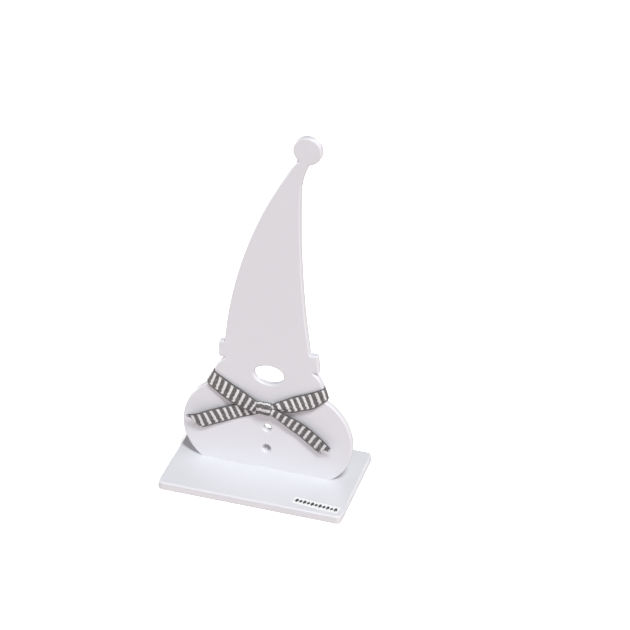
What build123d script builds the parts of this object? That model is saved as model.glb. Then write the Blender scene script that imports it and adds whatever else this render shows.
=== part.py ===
from build123d import *
from math import atan2, cos, degrees, radians, sin, sqrt, tan
import os

# A free-standing tomte gnome ornament: a flat lacquered board cut to the gnome's outline, screwed
# upright on a rectangular base board, with a striped ribbon tied round its neck and a small label.
# Millimetres. X runs to the right, Y to the back and Z up. The origin is the middle of the base's
# underside. Heights called "up" are above the base's upper face, where the gnome's foot stands. The
# face and the ribbon are placed from the neck line, and the hat from the underside of its brim.

# Boards
base_width = 122.5
base_depth = 78.0
base_board = 6.0
base_corner = 3.5
gnome_board = 5.0
gnome_setback = 1.25        # the gnome's middle plane stands this far behind the base's middle
edge_round = 1.2            # sanded edge, on both boards

# Gnome's body: a straight foot and two arcs on each side, tangent where it is widest
belly_half = 56.9
belly_up = 26.0
belly_low_radius = 32.7
belly_high_radius = 37.0

# Head: leaning sides and a rounded shoulder, up to the underside of the hat's brim
neck_half = 38.4
neck_up = 58.2
head_sunk = 4.0             # the head's sides start this far below the neck line, inside the belly
temple_half = 35.9
temple_rise = 10.3
crown_half = 26.6
crown_rise = 0.5            # the shoulder's arc ends this far above the brim's underside

# Hat: brim, cone with a bent tip, and the bobble. Points are (x, above the brim's underside).
brim_rise = 19.6
brim_left = 33.7
brim_left_height = 11.6
brim_right = 33.2
brim_right_lean = 1.7       # the brim's right end leans in towards its top
brim_right_height = 12.8
brim_corner = 1.4
hat_left_foot = (-30.2, 7.2)
hat_left_middle = (-18.6, 76.2)
hat_left_tip = (13.0, 146.2)
hat_right_foot = (27.4, 7.2)
hat_right_middle = (19.4, 66.2)
hat_right_top = (16.6, 123.2)
hat_flare_middle = (17.6, 135.2)
hat_flare_end = (21.6, 145.4)
bobble_centre = (19.7, 154.1)
bobble_radius = 9.1
tip_round = 1.3
inner_corner = 0.4          # where two of the outline's shapes meet

# Holes cut through the gnome
nose_rise = 12.2            # above the neck line
nose_half_width = 10.0
nose_half_height = 6.6
button_radius = 2.6
button_ups = (31.0, 15.1)

# Two countersunk wood screws, up through the base into the gnome's foot
screw_spread = 56.0
screw_radius = 1.25
screw_length = 16.0
screw_tip = 2.0
screw_head_radius = 2.5
screw_head_sink = 0.3
recess_span = 2.8
recess_slot = 0.6
recess_depth = 1.0
base_hole_gap = 0.15
seat_gap = 0.03
pilot_gap = 0.02
pilot_spare = 1.0

# Ribbon. Heights called "rise" and the tails' points (x, rise) are above the neck line.
ribbon_width = 12.0
ribbon_thick = 0.5
ribbon_gap = 0.2
wrap_width = 9.2            # gathered where it goes round the neck's edges
wrap_neck_gap = 0.6
strap_edge_rise = 3.0
strap_knot_rise = -12.6
strap_knot_width = 9.0
strap_knot_lift = 2.8
back_edge_rise = 4.4
back_middle_rise = -1.8     # the back stretch sags clear of the nose hole
back_middle_half = 11.0
knot_x = -1.0
knot_rise = -11.2
knot_length = 12.2
knot_height = 9.0
knot_depth = 5.6
knot_lift = 0.4
knot_round = 2.4
tail_width = 10.4           # a tail is crimped by the knot and never opens to its full width
tail_root_width = 7.0
tail_bite = 2.2             # how far a tail reaches into the knot
left_tail_root_rise = -11.2
left_tail_end = (-48.0, -30.6)
left_tail_root_lift = 0.1
left_tail_end_lift = 3.2
left_tail_slant = 5.4       # how much further the top corner of the cut end reaches
right_tail_root_rise = -12.8
right_tail_bend = (21.5, -20.8)
right_tail_end = (39.2, -35.0)
right_tail_root_lift = 3.5
right_tail_end_lift = 3.8

# Label stuck on the base's front right corner
label_width = 31.0
label_depth = 7.0
label_thick = 0.15
label_corner = 1.2
label_side_margin = 3.0
label_front_margin = 4.4
label_turn = -5.0

# Worked out from the sizes above
gnome_front = gnome_setback - gnome_board / 2
gnome_back = gnome_setback + gnome_board / 2
head_lean = (neck_half - temple_half) / temple_rise
brim_up = neck_up + brim_rise
neck_z = base_board + neck_up
wrap_high = wrap_neck_gap + wrap_width
ribbon_back_of_front = gnome_front - ribbon_gap
knot_left = knot_x - knot_length / 2
knot_right = knot_x + knot_length / 2


def slab(outline, z, y_front, y_back):
    """The outline, drawn as seen from the front with its y counted up from z, as an upright slab."""
    back_plane = Plane(origin=(0, y_back, z), x_dir=(1, 0, 0), z_dir=(0, -1, 0))
    return extrude(back_plane * outline, amount=y_back - y_front)


def arc_point(centre, radius, angle):
    """The point on a circle at this angle in degrees, as (x, y)."""
    turn = radians(angle)
    return (centre[0] + radius * cos(turn), centre[1] + radius * sin(turn))


def arc_reach(centre_x, radius, rise):
    """How far out a circle reaches at this height above or below its centre."""
    return centre_x + sqrt(radius**2 - rise**2)


def belly():
    """Foot line, then a small low arc and a wider high arc on each side, closed across the neck."""
    low = (belly_half - belly_low_radius, belly_up)
    high = (belly_half - belly_high_radius, belly_up)
    foot = (arc_reach(low[0], belly_low_radius, belly_up), 0)
    widest = (belly_half, belly_up)
    neck = (arc_reach(high[0], belly_high_radius, neck_up - belly_up), neck_up)
    arcs = [
        (foot, arc_point(low, belly_low_radius, -27), widest),
        (widest, arc_point(high, belly_high_radius, 30), neck),
    ]
    edges = [Line((-foot[0], 0), foot), Line((-neck[0], neck_up), neck)]
    for side in (-1, 1):
        edges += [ThreePointArc(*[(side * x, up) for x, up in points]) for points in arcs]
    return make_face(edges)


def head():
    """Leaning sides from inside the belly to the temples, then a rounded shoulder up to the brim."""
    low = (neck_half + head_sunk * head_lean, neck_up - head_sunk)
    temple = (temple_half, neck_up + temple_rise)
    crown = (crown_half, brim_up + crown_rise)
    edges = [Line((-low[0], low[1]), low), Line((-crown[0], crown[1]), crown)]
    for side in (-1, 1):
        side_low, side_temple, side_crown = [(side * x, up) for x, up in (low, temple, crown)]
        edges += [
            Line(side_low, side_temple),
            TangentArc(side_temple, side_crown, tangent=(-side * head_lean, 1)),
        ]
    return make_face(edges)


def brim():
    """A bar under the hat whose right end leans in, with small round corners."""
    corners = [
        (-brim_left, 0),
        (brim_right, 0),
        (brim_right - brim_right_lean, brim_right_height),
        (-brim_left, brim_left_height),
    ]
    bar = make_face(Polyline(*corners, close=True))
    return fillet(bar.vertices(), brim_corner)


def hat():
    """A tall bent cone: one long arc on the left, a longer flat arc and a short flare on the right."""
    edges = [
        Line(hat_left_foot, hat_right_foot),
        ThreePointArc(hat_right_foot, hat_right_middle, hat_right_top),
        ThreePointArc(hat_right_top, hat_flare_middle, hat_flare_end),
        Line(hat_flare_end, hat_left_tip),
        ThreePointArc(hat_left_tip, hat_left_middle, hat_left_foot),
    ]
    cone = make_face(edges)
    return fillet(cone.vertices().sort_by_distance(hat_left_tip)[0], tip_round)


def gnome_outline():
    """The whole silhouette, one closed shape without its holes."""
    hat_shapes = [brim(), hat(), Pos(*bobble_centre) * Circle(bobble_radius)]
    shapes = [belly(), head()] + [Pos(0, brim_up) * shape for shape in hat_shapes]
    whole = Sketch() + shapes
    own = [Vector(vertex) for shape in shapes for vertex in shape.vertices()]
    meets = [v for v in whole.vertices() if all((Vector(v) - point).length > 0.01 for point in own)]
    return fillet(meets, inner_corner)


def gnome_holes():
    """The oval nose and the round buttons."""
    holes = [Pos(0, neck_up + nose_rise) * Ellipse(nose_half_width, nose_half_height)]
    return holes + [Pos(0, up) * Circle(button_radius) for up in button_ups]


def screw_places():
    """The middles of the two screws on the base's underside."""
    return [(side * screw_spread / 2, gnome_setback, 0) for side in (-1, 1)]


def on_gnome_face(edge):
    """True for the edges of the front and back faces, apart from the foot, which stays square."""
    box = edge.bounding_box()
    flat = box.max.Y - box.min.Y < 0.001
    return flat and box.max.Z > base_board + 0.01


def gnome_panel():
    """The gnome's board with its holes, sanded edges and the screws' pilot holes in its foot."""
    outline = gnome_outline()
    for hole in gnome_holes():
        outline -= hole
    board = slab(outline, base_board, gnome_front, gnome_back)
    board = fillet([edge for edge in board.edges() if on_gnome_face(edge)], edge_round)
    depth = screw_length + screw_head_sink - base_board + pilot_spare
    for x, y, z in screw_places():
        pilot = Cylinder(screw_radius + pilot_gap, depth, align=(Align.CENTER, Align.CENTER, Align.MIN))
        board -= Pos(x, y, base_board) * pilot
    return board


def base_plate():
    """The base board with round corners and sanded edges, drilled and countersunk for the screws."""
    plate = extrude(RectangleRounded(base_width, base_depth, base_corner), amount=base_board)
    rims = plate.faces().sort_by(Axis.Z)[0].edges() + plate.faces().sort_by(Axis.Z)[-1].edges()
    plate = fillet(rims, edge_round)
    mouth = screw_head_radius + screw_head_sink + seat_gap
    bottom = (Align.CENTER, Align.CENTER, Align.MIN)
    for place in screw_places():
        hole = Cylinder(screw_radius + base_hole_gap, base_board, align=bottom)
        sink = Cone(mouth, 0, mouth, align=bottom)
        plate -= Pos(*place) * (hole + sink)
    return plate


def wood_screw():
    """A countersunk screw standing on its head: cone, shank, tip and a cross recess."""
    bottom = (Align.CENTER, Align.CENTER, Align.MIN)
    head = Cone(screw_head_radius, 0, screw_head_radius, align=bottom)
    shank_length = screw_length - screw_tip
    shank = Cylinder(screw_radius, shank_length, align=bottom)
    tip = Pos(0, 0, shank_length) * Cone(screw_radius, screw_radius / 6, screw_tip, align=bottom)
    recess = Box(recess_span, recess_slot, recess_depth, align=bottom)
    recess += Box(recess_slot, recess_span, recess_depth, align=bottom)
    return head + shank + tip - recess


def neck_ring():
    """The ribbon's loop seen from above, following the head's leaning sides from bottom to top.
    At the front it swings out from the neck's edges to the knot."""
    low = strap_knot_rise - ribbon_width
    high = wrap_high + ribbon_width / 2
    layers = []
    for shift in (ribbon_gap + ribbon_thick, ribbon_gap):
        rings = []
        for rise in (low, high):
            side = neck_half - head_lean * rise + shift
            front_y = gnome_front - shift
            knot_y = front_y - strap_knot_lift
            points = [(side, gnome_back + shift), (side, front_y), (knot_right, knot_y)]
            points += [(knot_left, knot_y), (-side, front_y), (-side, gnome_back + shift)]
            ring = make_face(Polyline(*points, close=True))
            rings.append(Pos(0, 0, neck_z + rise) * ring)
        layers.append(loft(rings, ruled=True))
    return layers[0] - layers[1]


def chevron(edge_rise, middle_rise, middle_half, middle_width):
    """A band that runs level across the middle, then slopes up to its full width at the neck's edges
    and on past them."""
    slope = atan2(edge_rise - middle_rise, neck_half - middle_half)
    beyond = ribbon_width
    edge = neck_half + beyond
    outer_rise = edge_rise + beyond * tan(slope)
    half_edge = ribbon_width / 2 / cos(slope)
    half_middle = middle_width / 2 / cos(slope)
    low = [(middle_half, middle_rise - half_middle), (edge, outer_rise - half_edge)]
    high = [(edge, outer_rise + half_edge), (middle_half, middle_rise + half_middle)]
    right = low + high
    left = [(-x, rise) for x, rise in reversed(right)]
    return make_face(Polyline(*right, *left, close=True))


def knot():
    """The knot's pillow, lying across the gnome's chest."""
    pillow = Box(knot_length, knot_depth, knot_height)
    pillow = fillet(pillow.edges(), knot_round)
    middle_y = gnome_front - knot_lift - knot_depth / 2
    return Pos(knot_x, middle_y, neck_z + knot_rise) * pillow


def neck_band():
    """The ribbon's loop: two straps from the knot to the neck's edges, and the stretch round the back."""
    far = 4 * neck_half
    front = chevron(strap_edge_rise, strap_knot_rise, knot_length / 2, strap_knot_width)
    back = chevron(back_edge_rise, back_middle_rise, back_middle_half, ribbon_width)
    wrap = Pos(0, wrap_neck_gap + wrap_width / 2) * Rectangle(far, wrap_width)
    behind = gnome_back + ribbon_gap
    kept = slab(front, neck_z, ribbon_back_of_front - far, ribbon_back_of_front)
    kept += slab(wrap, neck_z, ribbon_back_of_front, behind)
    kept += slab(back, neck_z, behind, behind + far)
    return neck_ring() & kept - knot()


def tail(root, end, root_lift, end_lift, slant=0.0, bend=None):
    """A tail from the knot to its cut end, as a thin plate that leans out from the gnome on its way.
    Its edges are curves through the root, the bend and the end, half a width to each side."""
    bend = bend or ((root[0] + end[0]) / 2, (root[1] + end[1]) / 2)
    bend_width = (tail_root_width + 2 * tail_width) / 3
    stations = [
        (root, (bend[0] - root[0], bend[1] - root[1]), tail_root_width, 0.0),
        (bend, (end[0] - root[0], end[1] - root[1]), bend_width, 0.0),
        (end, (end[0] - bend[0], end[1] - bend[1]), tail_width, slant / 2),
    ]
    above = 1 if end[0] > root[0] else -1
    rims = []
    for side in (above, -above):
        rim = []
        for (x, rise), way, width, reach in stations:
            along = Vector(*way).normalized()
            aside = Vector(-along.Y, along.X) * side * width / 2
            point = Vector(x, rise) + aside + along * reach * side * above
            rim.append((point.X - root[0], point.Y))
        rims.append(rim)
    edges = [Spline(*rim) for rim in rims]
    edges += [Line(rims[0][end_index], rims[1][end_index]) for end_index in (0, -1)]
    plate = extrude(Plane.XZ * make_face(edges), amount=ribbon_thick)
    lean = degrees(atan2(end_lift - root_lift, abs(end[0] - root[0])))
    root_y = ribbon_back_of_front - root_lift
    return Pos(root[0], root_y, neck_z) * Rot(0, 0, -above * lean) * plate


def label():
    """A thin sticker with round corners, turned a little from square."""
    sticker = extrude(RectangleRounded(label_width, label_depth, label_corner), amount=label_thick)
    x = base_width / 2 - label_side_margin - label_width / 2
    y = -base_depth / 2 + label_front_margin + label_depth / 2
    return Pos(x, y, base_board) * Rot(0, 0, label_turn) * sticker


def build():
    """Every piece of the ornament, by name."""
    left_root = (knot_left + tail_bite, left_tail_root_rise)
    right_root = (knot_right - tail_bite, right_tail_root_rise)
    left_tail = tail(left_root, left_tail_end, left_tail_root_lift, left_tail_end_lift, left_tail_slant)
    right_tail = tail(
        right_root, right_tail_end, right_tail_root_lift, right_tail_end_lift, bend=right_tail_bend
    )
    pieces = {
        "base_plate": base_plate(),
        "gnome_panel": gnome_panel(),
        "ribbon_neck_band": neck_band(),
        "ribbon_knot": knot(),
        "ribbon_tail_left": left_tail - knot(),
        "ribbon_tail_right": right_tail - knot(),
        "label_sticker": label(),
    }
    for name, (x, y, z) in zip(("left", "right"), screw_places()):
        pieces[f"fixing_screw_{name}"] = Pos(x, y, screw_head_sink) * wood_screw()
    return pieces


os.makedirs("parts", exist_ok=True)
for name, solid in build().items():
    export_step(solid, f"parts/{name}.step")
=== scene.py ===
from math import cos, pi, radians, sin

import bmesh
import bpy
import numpy as np
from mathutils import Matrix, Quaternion, Vector


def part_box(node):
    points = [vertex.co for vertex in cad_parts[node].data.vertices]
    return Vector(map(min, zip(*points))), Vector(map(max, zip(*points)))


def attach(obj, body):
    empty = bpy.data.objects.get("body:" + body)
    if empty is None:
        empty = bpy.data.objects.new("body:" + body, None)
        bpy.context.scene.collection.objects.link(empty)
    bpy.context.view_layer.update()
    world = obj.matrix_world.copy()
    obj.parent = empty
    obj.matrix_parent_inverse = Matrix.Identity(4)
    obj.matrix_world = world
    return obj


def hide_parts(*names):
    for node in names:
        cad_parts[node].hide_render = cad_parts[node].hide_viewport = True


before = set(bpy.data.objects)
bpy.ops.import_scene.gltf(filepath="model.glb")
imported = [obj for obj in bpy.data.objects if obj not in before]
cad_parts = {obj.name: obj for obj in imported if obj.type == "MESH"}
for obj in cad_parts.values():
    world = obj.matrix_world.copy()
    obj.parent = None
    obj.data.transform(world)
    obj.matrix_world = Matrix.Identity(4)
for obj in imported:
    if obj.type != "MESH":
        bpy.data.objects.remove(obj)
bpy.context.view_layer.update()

# A lacquered gnome board on a base board, dressed with a striped woven ribbon and a small label.
# Metres, X to the right, Y to the back, Z up. The ribbon is laid out in millimetres from the middle
# of the gnome's neck line, as (x, lift out of the gnome's front face, rise above the neck line).

MM = 0.001
gnome_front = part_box("gnome_panel")[0].y
base_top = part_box("base_plate")[1].z
sticker_low, sticker_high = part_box("label_sticker")
neck_above_base = 58.2 * MM
neck_z = base_top + neck_above_base

# Ribbon, in millimetres
ribbon_thick = 0.32
bar_pitch = 4.7             # from one light bar to the next
row_step = 0.13             # spacing of the mesh's rows along the ribbon
columns = 27                # points across the ribbon
ribs_per_bar = 6
rib_height = 0.045
bar_height = 0.04
selvedge_height = 0.06

# The loop: (bars along, top edge, bottom edge). It runs from the knot over the left strap, round
# the neck's left edge, across the back, round the right edge and over the right strap.
loop_stations = [
    (-9.4, (-3.0, 3.2, -7.6), (-5.8, 3.2, -14.6)),
    (-8.0, (-6.2, 3.3, -6.1), (-10.9, 3.5, -14.5)),
    (-6.0, (-14.6, 2.3, -1.9), (-18.9, 3.1, -12.6)),
    (-4.0, (-22.9, 1.6, 1.9), (-26.8, 2.7, -9.1)),
    (-2.0, (-31.2, 1.0, 6.2), (-34.4, 1.9, -4.7)),
    (-0.6, (-35.6, 0.4, 8.9), (-39.6, 1.1, -0.9)),
    (0.0, (-36.5, -1.4, 9.0), (-40.9, -0.9, 0.9)),
    (0.5, (-36.4, -3.9, 8.6), (-40.5, -3.6, 0.6)),
    (1.1, (-34.4, -5.6, 8.2), (-38.0, -6.0, -0.9)),
    (3.2, (-26.0, -5.5, 7.4), (-27.0, -6.3, -4.4)),
    (6.0, (-12.5, -5.6, 4.8), (-13.2, -6.1, -7.2)),
    (8.8, (0.5, -5.7, 4.1), (0.5, -6.0, -7.9)),
    (11.6, (13.5, -5.6, 4.8), (14.2, -6.1, -7.2)),
    (14.4, (26.5, -5.5, 7.6), (27.6, -6.3, -4.2)),
    (16.4, (34.4, -5.6, 9.4), (36.9, -5.8, -0.2)),
    (17.0, (36.3, -4.0, 9.6), (38.9, -3.9, 1.3)),
    (17.5, (36.4, -1.4, 9.7), (39.0, -1.0, 1.7)),
    (18.0, (35.3, 0.4, 9.6), (38.4, 0.6, 1.5)),
    (20.0, (27.0, 1.1, 5.4), (31.4, 2.0, -4.8)),
    (22.0, (19.1, 1.8, 2.0), (24.1, 2.6, -7.8)),
    (24.0, (11.5, 2.6, -1.9), (15.9, 3.2, -10.6)),
    (25.0, (7.0, 3.2, -4.4), (10.7, 3.4, -11.6)),
    (26.0, (3.2, 3.4, -7.0), (5.6, 3.2, -11.6)),
    (26.6, (1.0, 3.2, -8.4), (2.4, 2.8, -12.0)),
]
left_tail_stations = [
    (-1.2, (-5.5, 0.8, -9.6), (-2.6, 0.7, -15.4)),
    (0.0, (-11.5, 0.8, -11.0), (-8.0, 0.6, -18.2)),
    (2.0, (-21.2, 1.1, -13.0), (-16.9, 0.7, -22.1)),
    (4.0, (-28.9, 2.4, -15.6), (-24.9, 0.9, -26.0)),
    (6.0, (-37.5, 4.1, -18.8), (-32.8, 1.5, -29.8)),
    (8.0, (-45.2, 5.3, -22.4), (-42.0, 2.2, -34.2)),
    (9.8, (-52.6, 5.9, -24.7), (-50.0, 2.5, -37.0)),
]
left_tail_cut = (8.15, 9.75)        # bars along at the bottom and top corners of the cut end
right_tail_stations = [
    (-0.4, (0.2, 4.2, -8.4), (-1.0, 3.6, -13.2)),
    (1.0, (5.8, 4.7, -9.0), (3.9, 4.0, -14.6)),
    (3.0, (14.3, 4.2, -12.4), (10.9, 3.2, -19.4)),
    (5.0, (22.4, 3.8, -15.3), (18.0, 2.8, -24.3)),
    (7.0, (30.2, 3.8, -19.9), (25.3, 2.8, -28.9)),
    (9.0, (37.5, 4.0, -25.2), (32.7, 3.0, -34.4)),
    (11.1, (44.7, 4.4, -31.6), (40.4, 3.4, -41.0)),
]
right_tail_cut = (9.45, 11.05)

# Camera
aim = Vector((28.4 * MM, 0, 126 * MM))
camera_distance = 1.4857
camera_azimuth = radians(14.98)
camera_elevation = radians(30.42)
camera_roll = radians(2.41)
camera_lens = 136.7


def link_object(name, data):
    """An object of this data at the origin, linked into the scene."""
    made = bpy.data.objects.new(name, data)
    bpy.context.scene.collection.objects.link(made)
    return made


# ---------------------------------------------------------------- shader tools

def add(tree, kind, inputs=None, **settings):
    """A shader node with its settings, and its inputs linked or set by name or number."""
    node = tree.nodes.new(kind)
    for name, value in settings.items():
        setattr(node, name, value)
    for name, value in (inputs or {}).items():
        if isinstance(value, bpy.types.NodeSocket):
            tree.links.new(value, node.inputs[name])
        else:
            node.inputs[name].default_value = value
    return node


def maths(tree, operation, first, second=0.0, third=None, clamp=False):
    """One step of arithmetic, and its result."""
    inputs = {0: first, 1: second}
    if third is not None:
        inputs[2] = third
    return add(tree, "ShaderNodeMath", inputs, operation=operation, use_clamp=clamp).outputs[0]


def mixed(tree, factor, first, second, blend="MIX"):
    """Two colours mixed by a factor."""
    inputs = {0: factor, 6: first, 7: second}
    return add(tree, "ShaderNodeMix", inputs, data_type="RGBA", blend_type=blend).outputs[2]


def ramped(tree, value, start, end, low=0.0, high=1.0):
    """The value's stretch from start to end, spread smoothly from low to high."""
    inputs = {"Value": value, "From Min": start, "From Max": end, "To Min": low, "To Max": high}
    return add(tree, "ShaderNodeMapRange", inputs, interpolation_type="SMOOTHSTEP").outputs["Result"]


def new_group(name, inputs, outputs):
    """An empty node group, its input node and its output node."""
    group = bpy.data.node_groups.new(name, "ShaderNodeTree")
    for way, sockets in (("INPUT", inputs), ("OUTPUT", outputs)):
        for label, kind, value in sockets:
            made = group.interface.new_socket(name=label, in_out=way, socket_type=kind)
            if value is not None:
                made.default_value = value
    return group, group.nodes.new("NodeGroupInput"), group.nodes.new("NodeGroupOutput")


def use_group(tree, group, inputs):
    """A group placed in a material with its own values."""
    return add(tree, "ShaderNodeGroup", inputs, node_tree=group)


def object_place(tree):
    """The point on the piece, in the frame's metres."""
    return add(tree, "ShaderNodeTexCoord").outputs["Object"]


def noise(tree, place, size, detail=2.0, roughness=0.5):
    """Soft noise whose blotches are about this many metres across, around one half."""
    inputs = {"Vector": place, "Scale": 1 / size, "Detail": detail, "Roughness": roughness}
    return add(tree, "ShaderNodeTexNoise", inputs).outputs["Fac"]


def uneven_group():
    """A tone that wanders round 1 in two sizes of blotch, for a colour to be multiplied by."""
    group, start, end = new_group(
        "uneven_tone",
        [("Place", "NodeSocketVector", None), ("Strength", "NodeSocketFloat", 0.03)],
        [("Tone", "NodeSocketFloat", None)],
    )
    wide = noise(group, start.outputs["Place"], 0.045, 3.0)
    fine = noise(group, start.outputs["Place"], 0.006, 3.0)
    both = maths(group, "MULTIPLY_ADD", fine, 0.35, maths(group, "MULTIPLY", wide, 0.65))
    swing = maths(group, "MULTIPLY", maths(group, "SUBTRACT", both, 0.5), start.outputs["Strength"])
    group.links.new(maths(group, "ADD", swing, 1.0), end.inputs["Tone"])
    return group


def specks_group():
    """Rare small specks: one in each cell of a coarse pattern, and only some of them."""
    group, start, end = new_group(
        "specks",
        [
            ("Place", "NodeSocketVector", None),
            ("Cell", "NodeSocketFloat", 60.0),
            ("Radius", "NodeSocketFloat", 0.02),
            ("Share", "NodeSocketFloat", 0.5),
        ],
        [("Mask", "NodeSocketFloat", None)],
    )
    spots = add(
        group, "ShaderNodeTexVoronoi",
        {"Vector": start.outputs["Place"], "Scale": start.outputs["Cell"], "Randomness": 1.0},
    )
    chosen = maths(
        group, "LESS_THAN",
        add(group, "ShaderNodeSeparateColor", {0: spots.outputs["Color"]}).outputs[0],
        start.outputs["Share"],
    )
    near = maths(group, "SUBTRACT", start.outputs["Radius"], spots.outputs["Distance"])
    soft = ramped(group, near, 0.0, 0.008)
    group.links.new(maths(group, "MULTIPLY", soft, chosen), end.inputs["Mask"])
    return group


uneven = uneven_group()
specks = specks_group()


def new_material(name):
    """A material, its node tree and its shader."""
    material = bpy.data.materials.new(name)
    material.use_nodes = True
    tree = material.node_tree
    tree.nodes.clear()
    shader = add(tree, "ShaderNodeBsdfPrincipled")
    add(tree, "ShaderNodeOutputMaterial", {"Surface": shader.outputs[0]})
    return material, tree, shader


def lacquer_material():
    """Sprayed satin lacquer: a fine ripple, a slow swell, a wandering gloss and a few specks."""
    material, tree, shader = new_material("white_lacquer")
    place = object_place(tree)
    tone = use_group(tree, uneven, {"Place": place, "Strength": 0.05}).outputs["Tone"]
    dusted = use_group(tree, specks, {"Place": place, "Cell": 160.0, "Radius": 0.045, "Share": 0.15})
    dust = dusted.outputs["Mask"]
    paint = mixed(tree, 1.0, (0.704, 0.706, 0.736, 1), tone, "MULTIPLY")
    colour = mixed(tree, maths(tree, "MULTIPLY", dust, 0.45), paint, (0.36, 0.33, 0.32, 1))
    ripple = noise(tree, place, 0.0011, 2.0)
    swell = noise(tree, place, 0.011, 2.0)
    height = maths(tree, "MULTIPLY_ADD", swell, 5.0, ripple)
    height = maths(tree, "MULTIPLY_ADD", dust, 2.5, height)
    bump = add(tree, "ShaderNodeBump", {"Height": height, "Strength": 0.32, "Distance": 0.00003})
    gloss = maths(tree, "MULTIPLY_ADD", noise(tree, place, 0.02, 3.0), 0.14, 0.25)
    tree.links.new(colour, shader.inputs["Base Color"])
    tree.links.new(gloss, shader.inputs["Roughness"])
    tree.links.new(bump.outputs[0], shader.inputs["Normal"])
    shader.inputs["Coat Weight"].default_value = 0.25
    shader.inputs["Coat Roughness"].default_value = 0.16
    return material


def steel_material():
    """Zinc plate with a mottled tone and gloss."""
    material, tree, shader = new_material("screw_steel")
    place = object_place(tree)
    tone = use_group(tree, uneven, {"Place": place, "Strength": 0.25}).outputs["Tone"]
    mottled = noise(tree, place, 0.0006, 3.0)
    colour = mixed(tree, 1.0, (0.60, 0.60, 0.62, 1), tone, "MULTIPLY")
    bump = add(tree, "ShaderNodeBump", {"Height": mottled, "Strength": 0.4, "Distance": 0.00003})
    tree.links.new(colour, shader.inputs["Base Color"])
    tree.links.new(ramped(tree, mottled, 0.3, 0.7, 0.24, 0.42), shader.inputs["Roughness"])
    tree.links.new(bump.outputs[0], shader.inputs["Normal"])
    shader.inputs["Metallic"].default_value = 1.0
    return material


def paper_material():
    """Matt coated label paper."""
    material, tree, shader = new_material("label_paper")
    place = object_place(tree)
    tone = use_group(tree, uneven, {"Place": place, "Strength": 0.06}).outputs["Tone"]
    fibres = noise(tree, place, 0.0004, 4.0)
    bump = add(tree, "ShaderNodeBump", {"Height": fibres, "Strength": 0.25, "Distance": 0.00002})
    tree.links.new(mixed(tree, 1.0, (0.86, 0.86, 0.86, 1), tone, "MULTIPLY"), shader.inputs["Base Color"])
    tree.links.new(ramped(tree, fibres, 0.3, 0.7, 0.34, 0.46), shader.inputs["Roughness"])
    tree.links.new(bump.outputs[0], shader.inputs["Normal"])
    return material


def ink_material():
    """Black printing ink that lets a little paper through."""
    material, tree, shader = new_material("label_ink")
    mottled = noise(tree, object_place(tree), 0.0005, 3.0)
    thin = ramped(tree, mottled, 0.35, 0.8)
    colour = mixed(tree, thin, (0.012, 0.011, 0.013, 1), (0.05, 0.045, 0.05, 1))
    tree.links.new(colour, shader.inputs["Base Color"])
    tree.links.new(ramped(tree, mottled, 0.3, 0.7, 0.4, 0.55), shader.inputs["Roughness"])
    return material


def bar_mask(tree, along, across, from_edge, warp_count):
    """Where the light bars are: round every whole bar along, each warp yarn's bars shifted by a
    little, and not on the selvedges."""
    yarn = maths(tree, "FLOOR", maths(tree, "MULTIPLY", across, warp_count))
    jitter = add(tree, "ShaderNodeTexWhiteNoise", {"W": yarn}, noise_dimensions="1D").outputs["Value"]
    shift = maths(tree, "MULTIPLY_ADD", jitter, 0.10, along)
    from_ground = maths(tree, "PINGPONG", maths(tree, "ADD", shift, 0.5), 0.5)
    bar = ramped(tree, from_ground, 0.26, 0.335)
    return maths(tree, "MULTIPLY", bar, ramped(tree, from_edge, 0.07, 0.11))


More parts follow.
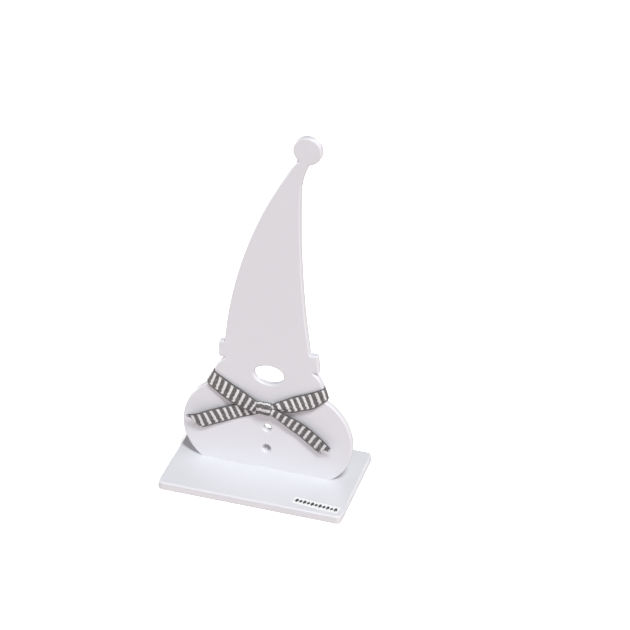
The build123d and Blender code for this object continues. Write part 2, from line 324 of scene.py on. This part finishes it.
def woven_material():
    """Ribbed ribbon: grey ground and light cross bars that stop short of the selvedges, yarn by yarn.
    The weave map counts bars along the ribbon and runs from 0 to 1 across it. The ground and the
    height carry the twill, which is the product of the warp yarns' sine and the ribs' cosine."""
    warp_count = 14.0
    material, tree, shader = new_material("woven_ribbon")
    weave = add(tree, "ShaderNodeUVMap", uv_map="weave")
    split = add(tree, "ShaderNodeSeparateXYZ", {0: weave.outputs[0]})
    along, across = split.outputs["X"], split.outputs["Y"]
    from_edge = maths(tree, "PINGPONG", across, 0.5)
    light = bar_mask(tree, along, across, from_edge, warp_count)
    warp = maths(tree, "SINE", maths(tree, "MULTIPLY", across, 2 * pi * warp_count))
    weft = maths(tree, "COSINE", maths(tree, "MULTIPLY", along, 2 * pi * ribs_per_bar))
    twill = maths(tree, "MULTIPLY", warp, weft)
    place = object_place(tree)
    speckle = noise(tree, place, 0.0008, 3.0, 0.7)
    slubs = noise(tree, place, 0.004, 2.0)

    mottle = maths(tree, "MULTIPLY_ADD", speckle, 3.0, -1.05)
    dark_mix = maths(tree, "MULTIPLY_ADD", twill, 0.45, mottle, clamp=True)
    dark = mixed(tree, dark_mix, (0.03, 0.026, 0.025, 1), (0.23, 0.22, 0.213, 1))
    pale_mix = maths(tree, "MULTIPLY_ADD", warp, 0.22, speckle, clamp=True)
    pale = mixed(tree, pale_mix, (0.90, 0.89, 0.90, 1), (0.50, 0.48, 0.485, 1))
    colour = mixed(tree, light, dark, pale)
    edging = ramped(tree, from_edge, 0.012, 0.05, 0.55, 0.0)
    colour = mixed(tree, edging, colour, (0.05, 0.047, 0.05, 1))
    tone = use_group(tree, uneven, {"Place": place, "Strength": 0.3}).outputs["Tone"]
    colour = mixed(tree, 1.0, colour, tone, "MULTIPLY")

    height = maths(tree, "MULTIPLY_ADD", speckle, 0.8, maths(tree, "MULTIPLY", twill, 0.5))
    height = maths(tree, "MULTIPLY_ADD", slubs, 0.6, height)
    bump = add(tree, "ShaderNodeBump", {"Height": height, "Strength": 0.8, "Distance": 0.00010})
    rough = maths(tree, "MULTIPLY_ADD", light, -0.26, 0.66)
    tree.links.new(colour, shader.inputs["Base Color"])
    tree.links.new(rough, shader.inputs["Roughness"])
    tree.links.new(maths(tree, "MULTIPLY", light, 0.2), shader.inputs["Metallic"])
    tree.links.new(bump.outputs[0], shader.inputs["Normal"])
    shader.inputs["Sheen Weight"].default_value = 0.15
    shader.inputs["Sheen Roughness"].default_value = 0.4
    return material


def yarn_material(name, colour):
    """A loose end of yarn."""
    material, tree, shader = new_material(name)
    speckle = noise(tree, object_place(tree), 0.0003, 2.0)
    darker = tuple(0.6 * c for c in colour) + (1,)
    tree.links.new(mixed(tree, speckle, tuple(colour) + (1,), darker), shader.inputs["Base Color"])
    shader.inputs["Roughness"].default_value = 0.5
    return material


lacquer = lacquer_material()
steel = steel_material()
paper = paper_material()
ink = ink_material()
woven = woven_material()
grey_yarn = yarn_material("grey_yarn", (0.16, 0.15, 0.15))
pale_yarn = yarn_material("pale_yarn", (0.85, 0.84, 0.85))


# ---------------------------------------------------------------- mesh tools

def finish_piece(name, points, faces, materials, uv=None, smooth=True):
    """A piece whose mesh holds these points and faces, riding on the one body."""
    mesh = bpy.data.meshes.new(name)
    faces = faces.tolist() if isinstance(faces, np.ndarray) else faces
    mesh.from_pydata(points.reshape(-1, 3).tolist(), [], faces)
    for material in materials:
        mesh.materials.append(material)
    mesh.polygons.foreach_set("use_smooth", np.full(len(mesh.polygons), smooth))
    if uv is not None:
        layer = mesh.uv_layers.new(name="weave")
        loops = np.zeros(len(mesh.loops), np.int32)
        mesh.loops.foreach_get("vertex_index", loops)
        layer.data.foreach_set("uv", uv[loops].astype(np.float32).ravel())
    mesh.update()
    piece = link_object(name, mesh)
    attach(piece, "root")
    return piece


def grid_faces(rows, across, ring=False):
    """Quads of a grid of points counted row by row, joined last row to first if it is a ring."""
    count = rows if ring else rows - 1
    i = np.arange(count)[:, None]
    j = np.arange(across - 1)[None, :]
    after = (i + 1) % rows
    corners = (i * across + j, i * across + j + 1, after * across + j + 1, after * across + j)
    return np.stack([np.broadcast_to(c, (count, across - 1)) for c in corners], -1).reshape(-1, 4)


def curve_through(at, knots, points):
    """Points on a smooth curve: a cubic between each two knots, whose slope at a knot is the
    difference of its neighbours, weighted by how near they are."""
    knots, points = np.asarray(knots, float), np.asarray(points, float)
    slope = np.gradient(points, knots, axis=0)
    i = np.clip(np.searchsorted(knots, at) - 1, 0, len(knots) - 2)
    span = (knots[i + 1] - knots[i])[:, None]
    t = ((at - knots[i])[:, None]) / span
    start, end = points[i], points[i + 1]
    ease = t * t * (3 - 2 * t)
    return (
        start * (1 - ease) + end * ease
        + slope[i] * span * t * (1 - t) ** 2
        - slope[i + 1] * span * t * t * (1 - t)
    )


def in_frame(points):
    """Ribbon points (x, lift, rise) in millimetres, as points in the frame."""
    x, lift, rise = points[..., 0], points[..., 1], points[..., 2]
    return np.stack([x * MM, gnome_front - lift * MM, neck_z + rise * MM], -1)


def slow_wander(values, length, seed):
    """A slow wander along the ribbon, about -1 to 1: three sine waves with fixed phases, the longer
    the lower."""
    phases = np.random.default_rng(seed).uniform(0, 2 * pi, 3)
    waves = [np.sin(values * 2 * pi / (length * k) + p) / k for k, p in zip((1.0, 1.7, 2.9), phases)]
    return sum(waves) / 1.9


def bar_distance(bars):
    """How far a place along the ribbon is from the middle of the nearest light bar, in bars."""
    return np.abs((bars + 0.5) % 1 - 0.5)


def weave_relief(bars, side):
    """How far the cloth's face stands out: rounded ribs across it, raised bars and thicker selvedges.
    side runs from -1 at the bottom edge to 1 at the top edge."""
    ribs = rib_height * np.cos(2 * pi * ribs_per_bar * bars)
    in_bar = np.clip((0.24 - bar_distance(bars)) / 0.05, 0, 1) * (np.abs(side) < 0.84)
    selvedge = selvedge_height * np.clip((np.abs(side) - 0.86) / 0.08, 0, 1)
    return ribs * (1 - 0.6 * (np.abs(side) > 0.93)) + bar_height * in_bar + selvedge


def surface_normals(points):
    """Unit normals of a grid of points, from the two directions' differences."""
    along = np.gradient(points, axis=0)
    across = np.gradient(points, axis=1)
    normal = np.cross(along, across)
    return normal / np.linalg.norm(normal, axis=-1, keepdims=True)


def on_rungs(stations, bars, share):
    """Points on the straight rungs between a ribbon's two edge curves: one rung for each of bars,
    with a point for each share of the way from its bottom edge to its top edge."""
    knots, top, bottom = zip(*stations)
    top, bottom = curve_through(bars, knots, top), curve_through(bars, knots, bottom)
    return bottom[:, None] * (1 - share[..., None]) + top[:, None] * share[..., None]


def strip_points(stations, drape, seed):
    """A strip of ribbon: its rungs' points, raised along the strip's normal, which faces away from
    the board's front, by its drape, a slow wander and the weave's relief. drape gives millimetres
    for each place along (in bars) and across (-1 to 1)."""
    start, end = stations[0][0], stations[-1][0]
    rows = int((end - start) * bar_pitch / row_step) + 1
    bars, side = np.broadcast_arrays(
        np.linspace(start, end, rows)[:, None], np.linspace(-1, 1, columns)[None, :]
    )
    share = (side + 1) / 2
    flat = on_rungs(stations, bars[:, 0], share)
    normal = surface_normals(flat)
    if normal[0, columns // 2, 1] < 0:
        normal = -normal
    wander = 0.14 * slow_wander(bars + 1.3 * side, 3.1, seed)
    height = drape(bars, side) + wander + weave_relief(bars, side)
    return flat + normal * height[..., None], np.stack([bars, share], -1)


def left_by_cut(bars, side, corners, seed):
    """True where the cloth is left: up to a slanting cut from the bottom to the top corner whose
    yarns end unevenly, two columns at a time."""
    rng = np.random.default_rng(seed)
    wander = np.repeat(rng.normal(0, 0.045, side.size // 2 + 1), 2)[: side.size]
    ends = corners[0] + (corners[1] - corners[0]) * (side + 1) / 2 + wander
    return bars[:, None] <= ends[None, :]


def ribbon_piece(name, stations, drape, seed, cut=None):
    """One stretch of the ribbon as a thin closed strip."""
    points, uv = strip_points(stations, drape, seed)
    faces = grid_faces(len(points), columns)
    if cut is not None:
        kept = left_by_cut(uv[:, 0, 0], np.linspace(-1, 1, columns), cut, seed)
        faces = faces[kept.ravel()[faces].all(1)]
    used, faces = np.unique(faces, return_inverse=True)
    points, uv = in_frame(points).reshape(-1, 3)[used], uv.reshape(-1, 2)[used]
    piece = finish_piece(name, points, faces.reshape(-1, 4), [woven], uv)
    thicken(piece)
    return piece


def thicken(piece):
    """Gives a strip its cloth's thickness, half to each side."""
    solid = piece.modifiers.new("thickness", "SOLIDIFY")
    solid.thickness = ribbon_thick * MM
    solid.offset = 0.0


def tubes(name, starts, ways, lengths, radius, materials, seed):
    """Loose yarn ends: each a thin tube along a bent line, drawn in to a tiny cap at both ends.
    A tube's line leaves its start, runs along its way and droops and strays with the square of the
    distance. Gives the piece and how many faces each tube has."""
    rng = np.random.default_rng(seed)
    rings, sides, count = 7, 6, len(starts)
    t = np.linspace(0, 1, rings)[None, :, None]
    stray = rng.normal(0, 0.35, (count, 1, 3)) * lengths[:, None, None]
    droop = np.array([0.0, 0.0, -0.12]) * lengths[:, None, None]
    line = starts[:, None] + ways[:, None] * lengths[:, None, None] * t + (stray + droop) * t * t
    along = np.gradient(line, axis=1)
    along /= np.linalg.norm(along, axis=-1, keepdims=True)
    aside = np.cross(along, np.array([0.31, 0.85, 0.42]))
    aside /= np.linalg.norm(aside, axis=-1, keepdims=True)
    other = np.cross(along, aside)
    angle = np.linspace(0, 2 * pi, sides, endpoint=False)[None, None, :, None]
    taper = np.sqrt(np.clip(1 - (2 * t - 1) ** 6, 0, 1))[..., None]
    ring = aside[:, :, None] * np.cos(angle) + other[:, :, None] * np.sin(angle)
    points = line[:, :, None] + ring * radius * np.maximum(taper, 0.02)
    order = np.arange(rings * sides).reshape(rings, sides).T.ravel()
    wall = order[grid_faces(sides, rings, ring=True)]
    cap = np.array([(0, 1, 2, 3), (0, 3, 4, 5)])
    one = np.concatenate([wall, cap[:, ::-1], cap + (rings - 1) * sides])
    faces = (one[None] + (np.arange(count) * rings * sides)[:, None, None]).reshape(-1, 4)
    return finish_piece(name, in_frame(points), faces, materials), len(one)


def frayed_end(name, stations, cut, seed):
    """The yarn ends along a tail's cut: short ones that carry on along the ribbon, pale where they
    come out of a bar."""
    rng = np.random.default_rng(seed)
    count, radius = 46, 0.11
    share = rng.uniform(0.03, 0.97, count)
    bars = cut[0] + (cut[1] - cut[0]) * share - 0.05
    start = on_rungs(stations, bars, share[:, None])[:, 0]
    way = on_rungs(stations, bars + 0.1, share[:, None])[:, 0] - start
    way /= np.linalg.norm(way, axis=1, keepdims=True)
    lengths = rng.uniform(0.6, 1.9, count)
    piece, each = tubes(name, start, way, lengths, radius, [grey_yarn, pale_yarn], seed + 1)
    pale = (bar_distance(bars) < 0.27).astype(np.int32)
    piece.data.polygons.foreach_set("material_index", np.repeat(pale, each))
    return piece


# ---------------------------------------------------------------- the boards, screws and label

def finished_board(name, node):
    """A board's own shape with its triangles joined, shaded smoothly round the sanded edges, where
    the normals lean towards the larger faces."""
    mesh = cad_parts[node].data.copy()
    mesh.name = name
    board = link_object(name, mesh)
    work = bmesh.new()
    work.from_mesh(mesh)
    bmesh.ops.remove_doubles(work, verts=work.verts, dist=0.002 * MM)
    work.to_mesh(mesh)
    work.free()
    if "custom_normal" in mesh.attributes:
        mesh.attributes.remove(mesh.attributes["custom_normal"])
    mesh.materials.clear()
    mesh.materials.append(lacquer)
    mesh.shade_smooth()
    mesh.set_sharp_from_angle(angle=radians(40))
    weighted = board.modifiers.new("face_weighted", "WEIGHTED_NORMAL")
    weighted.mode = "FACE_AREA_WITH_ANGLE"
    weighted.keep_sharp = True
    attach(board, "root")
    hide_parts(node)


def label():
    """The sticker: a rounded rectangle, turned a little, whose corners lift by a hair. Each row's
    reach to the side is shorter within the corner radius of the long edges, as a circle's is."""
    turn = radians(-5.0)
    middle = (Vector(sticker_low) + Vector(sticker_high)) / 2
    half_width, half_depth, corner = 15.5 * MM, 3.5 * MM, 1.2 * MM
    across, deep = 61, 25
    b = np.linspace(-1, 1, deep)[:, None] * half_depth
    past = np.clip(np.abs(b) - (half_depth - corner), 0, corner)
    reach = half_width - corner + np.sqrt(corner**2 - past**2)
    a = np.linspace(-1, 1, across)[None, :] * reach
    b = np.broadcast_to(b, a.shape)
    points = np.stack([a, b, label_height(a, b, half_width, half_depth)], -1)
    sticker = finish_piece("label", turned(points, turn, middle), grid_faces(deep, across), [paper])
    solid = sticker.modifiers.new("thickness", "SOLIDIFY")
    solid.thickness = 0.1 * MM
    solid.offset = -1.0
    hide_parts("label_sticker")
    ornament(turn, middle, half_width, half_depth)


def label_height(a, b, half_width, half_depth):
    """The sticker's upper face above the base: its thickness, faint bubbles and lifted corners."""
    corner = np.clip(np.abs(a) / half_width, 0, 1) ** 8 * np.clip(np.abs(b) / half_depth, 0, 1) ** 2
    bubbles = np.sin(a / (3.1 * MM)) * np.sin(b / (1.7 * MM) + 0.7)
    return (0.13 + 0.10 * corner + 0.012 * bubbles) * MM


def turned(points, turn, middle):
    """Points on the base's upper face, turned round the label's middle."""
    x = points[..., 0] * cos(turn) - points[..., 1] * sin(turn) + middle.x
    y = points[..., 0] * sin(turn) + points[..., 1] * cos(turn) + middle.y
    return np.stack([x, y, points[..., 2] + base_top], -1)


def ornament(turn, middle, half_width, half_depth):
    """The label's print: a row of small fir trees and lozenges, a hair above the paper."""
    fir = np.array([(0, 1.0), (0.5, 0.35), (0.28, 0.35), (0.72, -0.4), (0.16, -0.4), (0.16, -0.9),
                    (-0.16, -0.9), (-0.16, -0.4), (-0.72, -0.4), (-0.28, 0.35), (-0.5, 0.35)])
    lozenge = np.array([(0, 0.8), (0.5, 0), (0, -0.8), (-0.5, 0)])
    size, spacing, motifs = 2.2 * MM, 2.62 * MM, 11
    points, faces = [], []
    for i in range(motifs):
        shape = (fir if i % 2 == 0 else lozenge) * size
        x = (i - (motifs - 1) / 2) * spacing
        first = len(points)
        points += [(x + px, py) for px, py in shape]
        faces.append(list(range(first + len(shape) - 1, first - 1, -1)))
    points = np.array(points)
    height = label_height(points[:, 0], points[:, 1], half_width, half_depth) + 0.02 * MM
    placed = turned(np.column_stack([points, height]), turn, middle)
    piece = finish_piece("label_ornament", placed, faces, [ink], smooth=False)


# ---------------------------------------------------------------- the ribbon

def neck_loop():
    """The loop round the neck: gathered and creased towards the knot, and on the right its lower
    edge is tucked behind where it runs in."""
    def drape(bars, side):
        left, right = bars - loop_stations[0][0], loop_stations[-1][0] - bars
        near = np.exp(-((left / 2.0) ** 2)) + np.exp(-((right / 2.2) ** 2))
        tucked = np.clip((-0.3 - side) / 0.18, 0, 1) * np.exp(-((right / 2.6) ** 4))
        crease = near * 0.3 * np.cos(pi * (2.7 * side + 0.3 * slow_wander(bars, 2.0, 4)))
        return (0.2 + 0.8 * near) * (1 - side**2) + crease - 1.5 * tucked

    piece = ribbon_piece("ribbon_loop", loop_stations, drape, 3)
    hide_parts("ribbon_neck_band")
    return piece


def tail(name, stations, cut, node, seed):
    """A tail: cupped and creased where it leaves the knot, flatter towards its cut end."""
    def drape(bars, side):
        near = np.exp(-(((bars - stations[0][0]) / 2.6) ** 2))
        return (0.2 + 0.8 * near) * (1 - side**2) + 0.2 * near * np.cos(pi * (2.6 * side + 0.4))

    piece = ribbon_piece(name, stations, drape, seed, cut)
    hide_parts(node)
    fray = frayed_end(name + "_fray", stations, cut, seed + 20)
    return piece, fray


def knot():
    """The knot: the ribbon wrapped once round the straps, a plump sleeve with gathers along its
    wrap. Round the sleeve the section is a superellipse, and across it the ends tuck in."""
    rows, across = 190, 91
    half_width, half_height, half_depth = 5.0, 4.0, 2.75
    middle, gap, height_of_middle = -1.5, 0.3, -10.8
    plump = 2.4
    first_bar, turn_per_bar = 7.0, 72.0     # degrees round the sleeve
    angle = np.linspace(0, 2 * pi, rows, endpoint=False)[:, None]
    side = np.linspace(-1, 1, across)[None, :]
    c, s = np.cos(angle), np.sin(angle)
    reach = (np.abs(c) ** plump + np.abs(s) ** plump) ** (-1 / plump)
    tuck = 1 - 0.5 * np.clip((np.abs(side) - 0.78) / 0.22, 0, 1) ** 2
    size = tuck * (1 + 0.06 * side)
    gather = 0.13 * np.sin(2 * pi * side * 4.6 + 0.7 * np.sin(2 * angle + 0.6) + 0.5)
    gather = gather + 0.06 * np.sin(2 * pi * side * 7.7 + 1.2 * np.sin(angle) + 2.0)
    bars = (np.degrees(angle) - first_bar) / turn_per_bar
    bars = bars + 0.02 * np.sin(2 * pi * side * 1.3 + angle)
    relief = gather + weave_relief(bars, np.broadcast_to(side * 0.8, (rows, across)))
    x = middle + half_width * side + 0.2 * np.sin(3 * angle)
    lift = gap + half_depth + (half_depth * reach * size + relief) * c
    rise = height_of_middle + (half_height * reach * size + relief) * s - 0.2 * side
    points = np.stack(np.broadcast_arrays(x, lift, rise), -1)
    uv = np.stack(np.broadcast_arrays(bars, (side * 0.82 + 1) / 2), -1)
    faces = grid_faces(rows, across, ring=True)
    piece = finish_piece("ribbon_tied_knot", in_frame(points), faces, [woven], uv.reshape(-1, 2))
    thicken(piece)
    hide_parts("ribbon_knot")
    return piece


# ---------------------------------------------------------------- stage, light and camera

def floor_material(touching):
    """A pale floor that throws only a little warm light back up. It can be seen through from below,
    and lights what stands nearer than touching to it, for that view."""
    material, tree, shader = new_material("floor")
    ray = add(tree, "ShaderNodeLightPath")
    colour = mixed(tree, ray.outputs["Is Diffuse Ray"], (0.97, 0.97, 0.97, 1), (0.44, 0.34, 0.31, 1))
    near = maths(tree, "LESS_THAN", ray.outputs["Ray Length"], touching)
    near = maths(tree, "MULTIPLY", near, ray.outputs["Is Diffuse Ray"])
    glow = maths(tree, "MAXIMUM", near, ray.outputs["Is Camera Ray"])
    tree.links.new(colour, shader.inputs["Base Color"])
    tree.links.new(maths(tree, "MULTIPLY", glow, 0.6), shader.inputs["Emission Strength"])
    shader.inputs["Emission Color"].default_value = (1, 1, 1, 1)
    shader.inputs["Roughness"].default_value = 0.9
    clear = add(tree, "ShaderNodeBsdfTransparent")
    below = add(tree, "ShaderNodeNewGeometry").outputs["Backfacing"]
    sides = add(tree, "ShaderNodeMixShader", {0: below, 1: shader.outputs[0], 2: clear.outputs[0]})
    tree.links.new(sides.outputs[0], tree.nodes["Material Output"].inputs["Surface"])
    return material


def stage():
    """A large floor a hair under the base."""
    half, low = 3.0, -0.02 * MM
    corners = [(-half, -half, low), (half, -half, low), (half, half, low), (-half, half, low)]
    mesh = bpy.data.meshes.new("floor")
    mesh.from_pydata(corners, [], [(0, 1, 2, 3)])
    mesh.materials.append(floor_material(0.2 * MM))
    floor = link_object("floor", mesh)


def soft_light(name, azimuth, elevation, spread, power, colour):
    """A broad even light from one direction: azimuth towards +X, elevation above the floor and the
    width of the lit patch of sky, all in degrees."""
    turn, rise = radians(azimuth), radians(elevation)
    way = Vector((sin(turn) * cos(rise), -cos(turn) * cos(rise), sin(rise)))
    data = bpy.data.lights.new(name, "SUN")
    data.energy = power
    data.color = colour
    data.angle = radians(spread)
    light = link_object(name, data)
    light.location = way * 2
    light.rotation_mode = "QUATERNION"
    light.rotation_quaternion = way.to_track_quat("Z", "Y")


def lights():
    """A key light high on the right, two weak fills, and low lights for the left edges and the back."""
    soft_light("key_light", 33, 57, 13, 2.6, (0.93, 0.99, 1.0))
    soft_light("front_light", 5, 18, 50, 1.18, (1.0, 0.94, 0.98))
    soft_light("side_light", 80, 25, 50, 0.85, (1.0, 0.90, 0.92))
    soft_light("edge_light", -100, 2, 10, 1.8, (1.0, 1.0, 1.0))
    soft_light("back_light", 172, 4, 12, 1.9, (1.0, 0.99, 1.0))


def room():
    """The room: dim and warm for the matt light, cooler and brighter in the gloss, and white behind
    everything the camera sees."""
    world = bpy.data.worlds.new("room")
    world.use_nodes = True
    tree = world.node_tree
    background = tree.nodes["Background"]
    ray = add(tree, "ShaderNodeLightPath")
    colour = mixed(tree, ray.outputs["Is Diffuse Ray"], (0.88, 0.94, 1.0, 1), (1.0, 0.78, 0.70, 1))
    colour = mixed(tree, ray.outputs["Is Camera Ray"], colour, (1.0, 1.0, 1.0, 1))
    strength = maths(tree, "MULTIPLY_ADD", ray.outputs["Is Diffuse Ray"], -0.34, 0.4)
    strength = maths(tree, "ADD", strength, ray.outputs["Is Camera Ray"])
    tree.links.new(colour, background.inputs["Color"])
    tree.links.new(strength, background.inputs["Strength"])
    bpy.context.scene.world = world


def camera():
    """The camera: it looks down on the gnome from the front right, rolled by a few degrees."""
    back = Vector((
        sin(camera_azimuth) * cos(camera_elevation),
        -cos(camera_azimuth) * cos(camera_elevation),
        sin(camera_elevation),
    ))
    data = bpy.data.cameras.new("camera")
    data.lens = camera_lens
    data.sensor_width = 36.0
    data.clip_start = 0.05
    lens = link_object("camera", data)
    lens.location = aim + back * camera_distance
    lens.rotation_mode = "QUATERNION"
    lens.rotation_quaternion = back.to_track_quat("Z", "Y") @ Quaternion((0, 0, 1), camera_roll)
    bpy.context.scene.camera = lens


camera()
stage()
lights()
room()
bpy.context.scene.view_settings.view_transform = "Standard"

finished_board("gnome_board", "gnome_panel")
finished_board("base_board", "base_plate")
for screw in ("fixing_screw_left", "fixing_screw_right"):
    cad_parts[screw].data.materials.clear()
    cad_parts[screw].data.materials.append(steel)
label()

loop = neck_loop()
left_tail, left_fray = tail(
    "ribbon_end_left", left_tail_stations, left_tail_cut, "ribbon_tail_left", 11
)
right_tail, right_fray = tail(
    "ribbon_end_right", right_tail_stations, right_tail_cut, "ribbon_tail_right", 12
)
wrapped = knot()
